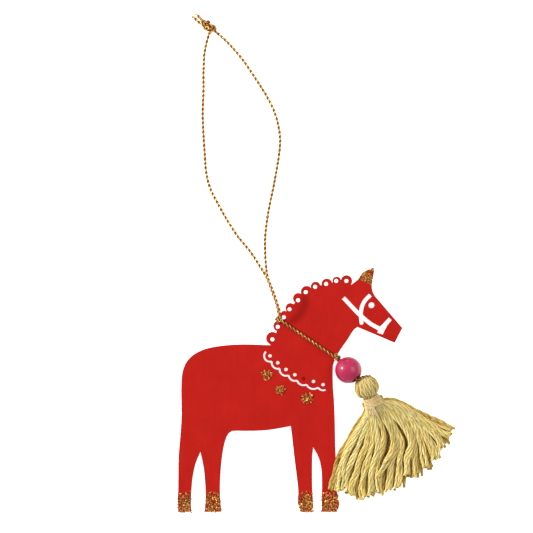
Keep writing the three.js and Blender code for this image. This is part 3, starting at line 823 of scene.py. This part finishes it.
def cotton_yarn(name, low, high, groove):
    material, shader = new_material(name, Roughness=0.85, Specular_IOR_Level=0.1,
                                    Sheen_Weight=0.06, Sheen_Roughness=0.5,
                                    Subsurface_Weight=0.35, Subsurface_Scale=0.9 * MM)
    shader.inputs["Subsurface Radius"].default_value = (1.0, 0.72, 0.32)
    crest = across_section(material, YARN_PLIES)
    island = add_node(material, "ShaderNodeNewGeometry", {}, {}).outputs["Random Per Island"]
    place = add_node(material, "ShaderNodeTexCoord", {}, {}).outputs["Object"]
    cloud = add_node(material, "ShaderNodeTexNoise",
                     {"Scale": 1 / (3 * MM), "Detail": 2.0}, {"Vector": place})
    both = add_node(material, "ShaderNodeMath", {"operation": "ADD"},
                    {0: island, 1: cloud.outputs["Fac"]})
    tone = add_node(material, "ShaderNodeMapRange",
                    {"From Min": 0.35, "From Max": 1.35}, {0: both.outputs[0]})
    dyed = add_node(material, "ShaderNodeMix", {"data_type": "RGBA", LOW: low, HIGH: high},
                    {FACTOR: tone.outputs[0]})
    # Painted shade: the groove between the plies is painted a darker colour.
    ridge = add_node(material, "ShaderNodeMapRange", {"From Max": 0.3}, {0: crest})
    colour = add_node(material, "ShaderNodeMix", {"data_type": "RGBA", LOW: groove},
                      {FACTOR: ridge.outputs[0], HIGH: dyed.outputs[BLEND]})
    connect(material, colour.outputs[BLEND], shader, "Base Color")
    fibres = add_node(material, "ShaderNodeTexNoise",
                      {"Scale": 1 / (FIBRE * MM), "Detail": 2.0}, {"Vector": place})
    bump = add_node(material, "ShaderNodeBump", {"Strength": 0.5, "Distance": 0.05 * MM},
                    {"Height": fibres.outputs["Fac"]})
    connect(material, bump.outputs["Normal"], shader, "Normal")
    return material


# Under other yarns the light has bounced from yarn to yarn, which makes it warm and dim. The
# renderer stops after a few bounces, so the yarns that lie there get a deeper colour, a painted
# shade. The yarn of the head gets a duller, more even colour, a painted shade that tones down
# the light falling on it.
straw_yarn = cotton_yarn("straw_cotton_yarn", "#CAAF5E", "#EAD790", "#A27E32")
shaded_yarn = cotton_yarn("shaded_straw_cotton_yarn", "#A8863A", "#CBAF66", "#84601E")
head_shade_yarn = cotton_yarn("shaded_head_straw_cotton_yarn", "#B69F58", "#D2C082", "#9C803C")
peach_thread = cotton_yarn("peach_cotton_thread", "#DCBE80", "#F4DCAC", "#A87A3C")
yarn_section = ply_section("yarn_section", YARN_DIAMETER / 2, YARN_PLIES, 9, 0.16)
thread_section = ply_section("thread_section", 0.26 * MM, YARN_PLIES, 6, 0.3)

# %% [markdown]
# ## Tassel head
# The yarns are folded over the cord and run down the head side by side. A turned core
# stands in for the yarns inside, and the visible ones lie on it as bent lines from the
# crown to the binding.

# %% Tassel head
HEAD_PROFILE = [(0.6, -4.1), (2.5, -3.65), (4.2, -2.1), (4.8, 0.0), (4.4, 1.8), (2.8, 3.3),
                (2.5, 5.0)]          # radius and distance along the axis, millimetres
HEAD_YARNS = 26


def head_routes(dice):
    routes = []
    for number in range(HEAD_YARNS):
        turn = math.tau * number / HEAD_YARNS + dice.uniform(-0.04, 0.04)
        sway = dice.uniform(-0.12, 0.12)
        sink = dice.uniform(0.0, 0.25)
        places = []
        for radius, along in HEAD_PROFILE:
            swing = turn + sway * math.sin(along * 0.7)
            reach = max(0.2, radius - YARN_DIAMETER / MM / 2 - sink) * MM
            places.append(about_axis(reach, swing, along * MM))
        routes.append(smooth_route(places, YARN_STEP))
    return routes


head = twisted("tassel_head_yarns", head_routes(random.Random(5)), yarn_section, YARN_LAY)
stands_for(head, head_shade_yarn, "tassel", "straw_yarn", "tassel_head")

CORE_SINK = 0.8                      # millimetres from the yarns' outside to the core
core_profile = [(max(0.0, radius - CORE_SINK) * MM, along * MM) for radius, along in HEAD_PROFILE]
core_profile = [(0.0, -3.4 * MM), *core_profile[1:], (2.2 * MM, 9 * MM), (0.0, 9 * MM)]
core = turned("tassel_core_yarns", core_profile, 32, head_middle, tassel_axis, closed=False)
core.data.uv_layers.new(name="UVMap")
stands_for(core, straw_yarn, "tassel", "straw_yarn", "tassel_head")

# %% [markdown]
# ## Binding
# A thinner thread is wound round the neck of the tassel. It is a helix whose turns lie a
# little closer than the thread is thick, and it widens towards the skirt.

# %% Binding
BINDING_TURNS = 7
BINDING_START, BINDING_END = 3.75, 7.2       # millimetres along the axis
BINDING_RADII = (2.95, 3.55)


def binding_route(dice):
    places = []
    steps = BINDING_TURNS * 24
    for step in range(steps + 1):
        share = step / steps
        turn = math.tau * BINDING_TURNS * share
        radius = BINDING_RADII[0] + (BINDING_RADII[1] - BINDING_RADII[0]) * share
        radius += 0.06 * math.sin(turn * 0.37) + dice.uniform(-0.015, 0.015)
        along = BINDING_START + (BINDING_END - BINDING_START) * share
        along += 0.12 * math.sin(turn * 1.03)
        places.append(about_axis(radius * MM, turn, along * MM))
    return smooth_route(places, 0.3 * MM)


# The thread's end is tucked under the turns and frays over the skirt.
FRAY_FROM, FRAY_TO = [(7.0, -1.5), (7.0, -0.6)], [(9.6, -2.9), (12.0, 0.0)]


def fray_routes(dice, count=8):
    routes = []
    for number in range(count):
        share = number / (count - 1)
        start = [a + (b - a) * share for a, b in zip(*FRAY_FROM)]
        end = [a + (b - a) * share + dice.uniform(-0.4, 0.4) for a, b in zip(*FRAY_TO)]
        places = [in_tassel(start[0] - 1.5, start[1], 6.6), in_tassel(*start, 7.3),
                  in_tassel((start[0] + end[0]) / 2, (start[1] + end[1]) / 2, 7.25),
                  in_tassel(*end, 6.3)]
        routes.append(smooth_route(places, 0.3 * MM))
    return routes


binding_lines = [binding_route(random.Random(8)), *fray_routes(random.Random(9))]
binding = twisted("tassel_binding_thread", binding_lines, thread_section, 1.6 * MM)
stands_for(binding, peach_thread, "tassel", "binding_thread", "tassel_binding")

# %% [markdown]
# ## Cord of the tassel
# The cord leaves the throat knot, goes through the bead, and is knotted over the crown of
# the head, where a little of it shows.

# %% Tassel cord
bead_exit = bead_middle + hole_axis * (bead_radius + 0.1 * MM)
crown_loop = [
    throat + hole_axis * 0.9 * MM, bead_middle, bead_exit, in_tassel(-4.5, -1.0, 6.3),
    in_tassel(-4.3, 0.6, 6.5), in_tassel(-3.9, 2.0, 6.0), in_tassel(-3.2, 3.0, 4.9),
    in_tassel(-2.0, 2.6, 4.2),
]
tassel_cord = twisted("tassel_cord_strand", [smooth_route(crown_loop, LEG_STEP)],
                      tight_section, TIGHT_LAY)
stands_for(tassel_cord, gold_yarn, "tassel", "gold_cord", "tassel_cord")
stop_middle = middle_of("tassel_stop_knot")
stop_size = (0.5 * MM, 0.5 * MM, 0.4 * MM)
stop_route = knot_route(stop_middle, along_skirt, across_skirt, stop_size, LEG_STEP)
stop_knot = twisted("tassel_stop_knot_cord", [stop_route], tight_section, TIGHT_LAY)
stands_for(stop_knot, gold_yarn, "tassel", "gold_cord", "tassel_stop_knot")

# %% [markdown]
# ## Skirt
# The skirt is some two hundred loose yarns. They hang together in locks, so each lock is a
# line that its yarns follow side by side, and they spread towards the cut ends. Two more
# layers below take straighter lines and fill the gaps. Where yarns lie over the horse's
# leg they are lifted on to it.

# %% Skirt: the locks
# Each lock: places along and across the skirt in mm, yarns, width at the tip, lift.
LOCKS = [
    ([(8.6, -3.2), (13.4, -9.1), (18.0, -14.8), (21.8, -18.4), (27.9, -22.8), (31.2, -25.0)],
     4, 3.0, 0.3),
    ([(8.9, -3.1), (14.4, -7.3), (19.3, -11.9), (23.1, -15.8), (26.9, -19.2), (32.2, -22.8)],
     3, 2.2, 0.0),
    ([(9.0, -2.8), (15.0, -5.7), (19.3, -8.2), (23.4, -12.1), (31.2, -18.6), (35.3, -20.7)],
     3, 2.4, 0.1),
    ([(9.4, -2.4), (15.6, -4.3), (19.3, -5.5), (23.5, -8.8), (31.7, -14.9), (38.2, -17.5)],
     3, 2.2, 0.3),
    ([(9.6, -1.6), (15.1, -2.5), (20.0, -3.7), (24.4, -6.3), (31.7, -11.4), (37.8, -13.8)],
     3, 2.3, 0.5),
    ([(9.9, -0.8), (16.2, -0.5), (20.0, -1.3), (22.6, -3.1), (28.5, -7.4), (38.8, -10.6)],
     3, 2.2, 0.2),
    ([(8.4, 0.7), (17.0, 2.0), (22.6, 1.3), (26.4, -1.0), (28.3, -3.7), (32.7, -9.1)],
     3, 2.0, 1.5),
    ([(8.2, 1.4), (16.0, 3.2), (22.0, 2.9), (27.0, 0.0), (32.0, -4.0), (38.8, -7.2)],
     3, 2.4, 0.3),
    ([(7.8, 1.7), (15.9, 3.7), (20.2, 4.1), (24.3, 3.8), (32.2, -0.3), (39.0, -3.4)],
     3, 2.4, 0.5),
    ([(7.7, 2.3), (14.8, 5.6), (20.8, 7.6), (25.6, 7.1), (29.9, 4.2), (36.4, 0.8)],
     3, 2.2, 1.0),
    ([(7.6, 2.7), (10.2, 4.9), (15.7, 8.0), (22.8, 8.9), (32.2, 6.0), (37.8, 4.1)],
     3, 2.6, 0.2),
    ([(7.6, 3.0), (9.8, 5.6), (15.1, 9.2), (21.0, 11.1), (32.5, 9.9), (37.0, 8.5)],
     3, 2.8, 0.0),
    ([(7.6, 3.2), (9.7, 6.2), (14.4, 10.0), (21.5, 13.3), (31.5, 14.1), (35.0, 12.9)],
     4, 3.0, 0.2),
    ([(7.5, 3.3), (9.6, 6.8), (14.0, 10.8), (22.0, 15.4), (27.3, 17.2), (32.2, 17.8)],
     4, 3.0, 0.4),
    ([(7.4, 3.3), (9.6, 7.2), (13.1, 10.4), (17.8, 13.4), (23.1, 17.6), (28.8, 22.2)],
     4, 3.2, 0.6),
]
SKIRT_START = 4.8                    # millimetres along, hidden in the binding
NECK_RADIUS = 2.5
NECK_HEIGHT = 3.9
LOCK_CROWN = 0.55                    # how much higher a lock's middle is than its sides
LOCK_LEAN = 0.8                      # and one side than the other, at most
YARN_RADIUS = YARN_DIAMETER / MM / 2
LAYERS = [             # name, height at the tips, side of the neck, straightness, material
    ("skirt_yarns_low", 0.05, -0.9, 2, shaded_yarn),
    ("skirt_yarns_middle", 0.75, 0.2, 2, shaded_yarn),
    ("skirt_yarns_top", 1.45, 1.0, 1, straw_yarn),
]
sheet_tree = BVHTree.FromObject(sheet, bpy.context.evaluated_depsgraph_get())


def lifted(route):
    """Raises a route where it would be in the horse's leg, with a gentle slope up to it."""
    need = np.zeros(len(route))
    for index, (x, y, _) in enumerate(route):
        hit = sheet_tree.ray_cast(Vector((x, y, 0.05)), Vector((0, 0, -1)))[0]
        if hit:
            need[index] = hit.z + YARN_RADIUS * MM
    steps = np.abs(np.arange(len(route))[:, None] - np.arange(len(route))[None, :])
    need = (need[None, :] - 0.35 * YARN_STEP * steps).max(axis=1)
    route[:, 2] = np.maximum(route[:, 2], need)
    return route


def yarn_of_lock(lock, place, lean, layer, dice):
    """The route of one yarn: place is where it lies across its lock, from -0.5 to 0.5."""
    points, _, tip_width, lift = lock
    _, tip_height, side, straightness, _ = layer
    guide = [points[0], *points[1:-1:straightness], points[-1]]
    start = (SKIRT_START, points[0][1] * 0.6 + place * 0.8)
    guide = smooth_route([(*point, 0) for point in [start, *guide]], 1.0)
    total = len(guide) - 1
    neck = math.sqrt(max(0.1, NECK_RADIUS**2 - start[1] ** 2)) * side
    tip = YARN_RADIUS + tip_height + (lift if straightness == 1 else 0)
    waves = [(dice.uniform(0, math.tau), dice.uniform(9, 17)) for _ in range(2)]
    longer = dice.uniform(-1.3, 0.9)
    ways = np.gradient(guide, axis=0)
    places = []
    for index, (along, sideways, _) in enumerate(guide):
        share = index / total
        way = ways[index] / np.linalg.norm(ways[index])
        width = 0.9 + (tip_width - 0.9) * share ** 0.8
        wave = 0.34 * share * math.sin(waves[0][0] + index * math.tau / waves[0][1])
        shift = place * width + wave
        height = tip + (NECK_HEIGHT + neck - tip) * (1 - share) ** 1.6
        height += 0.2 * share * math.sin(waves[1][0] + index * math.tau / waves[1][1])
        height += (lean * place - LOCK_CROWN * 4 * place**2) * math.sqrt(share)
        stretch = longer * share**3
        places.append(in_tassel(along - way[1] * shift + way[0] * stretch,
                                sideways + way[0] * shift + way[1] * stretch,
                                max(YARN_RADIUS, height)))
    return lifted(smooth_route(places, YARN_STEP))


for layer in LAYERS:
    name, *_, straightness, material = layer
    dice = random.Random(name)
    extra, widen = (0, 1.0) if straightness == 1 else (2, 2.2)      # the lower layers are fuller
    routes = []
    for lock in LOCKS:
        count = lock[1] + extra
        lean = dice.uniform(-LOCK_LEAN, LOCK_LEAN)
        for number in range(count):
            place = (number - (count - 1) / 2) / count * widen + dice.uniform(-0.03, 0.03)
            routes.append(yarn_of_lock(lock, place, lean, layer, dice))
    skirt = twisted(name, routes, yarn_section, YARN_LAY)
    stands_for(skirt, material, "tassel", "straw_yarn", "tassel_skirt")

# %% [markdown]
# ## Table and light
# The ornament lies on a white light table, whose own glow softens the shadows. One large
# soft light stands at the right and a small bright one at the left, which gives the bead its
# two highlights.

# %% Table, lights and world
TABLE_SIZE = 6.0
bm = bmesh.new()
bmesh.ops.create_grid(bm, x_segments=1, y_segments=1, size=TABLE_SIZE / 2)
table = to_piece("table", bm)
table_white, table_shader = new_material("white_light_table", Roughness=0.9,
                                         Specular_IOR_Level=0.0, Emission_Strength=0.85)
table_shader.inputs["Base Color"].default_value = linear("#FAFAF8")
table_shader.inputs["Emission Color"].default_value = (1, 1, 1, 1)
table.data.materials.append(table_white)


def soft_light(name, way, distance, size, watts):
    """A square light of this size that shines on the ornament from the way it stands in."""
    data = bpy.data.lights.new(name, "AREA")
    data.size = size
    data.energy = watts
    light = bpy.data.objects.new(name, data)
    scene.collection.objects.link(light)
    target = Vector((0, 0, 0))
    light.location = target + Vector(way).normalized() * distance
    light.rotation_euler = (target - light.location).to_track_quat("-Z", "Y").to_euler()
    return light


soft_light("large_soft_light", (0.62, 0.2, 0.76), 1.2, 0.7, 5.5)
soft_light("small_bright_light", (-0.83, 0.32, 0.445), 1.2, 0.22, 17)
world = bpy.data.worlds.new("studio")
world.use_nodes = True
background = world.node_tree.nodes["Background"]
background.inputs["Color"].default_value = (1, 1, 1, 1)
background.inputs["Strength"].default_value = 0.55
scene.world = world
scene.view_settings.view_transform = "Standard"

# %% [markdown]
# ## Finish
# The profile curves have done their work and are removed. It has to stay in the same box.

# %% Finish
for section in (cord_section, tight_section, yarn_section, thread_section):
    bpy.data.objects.remove(section)
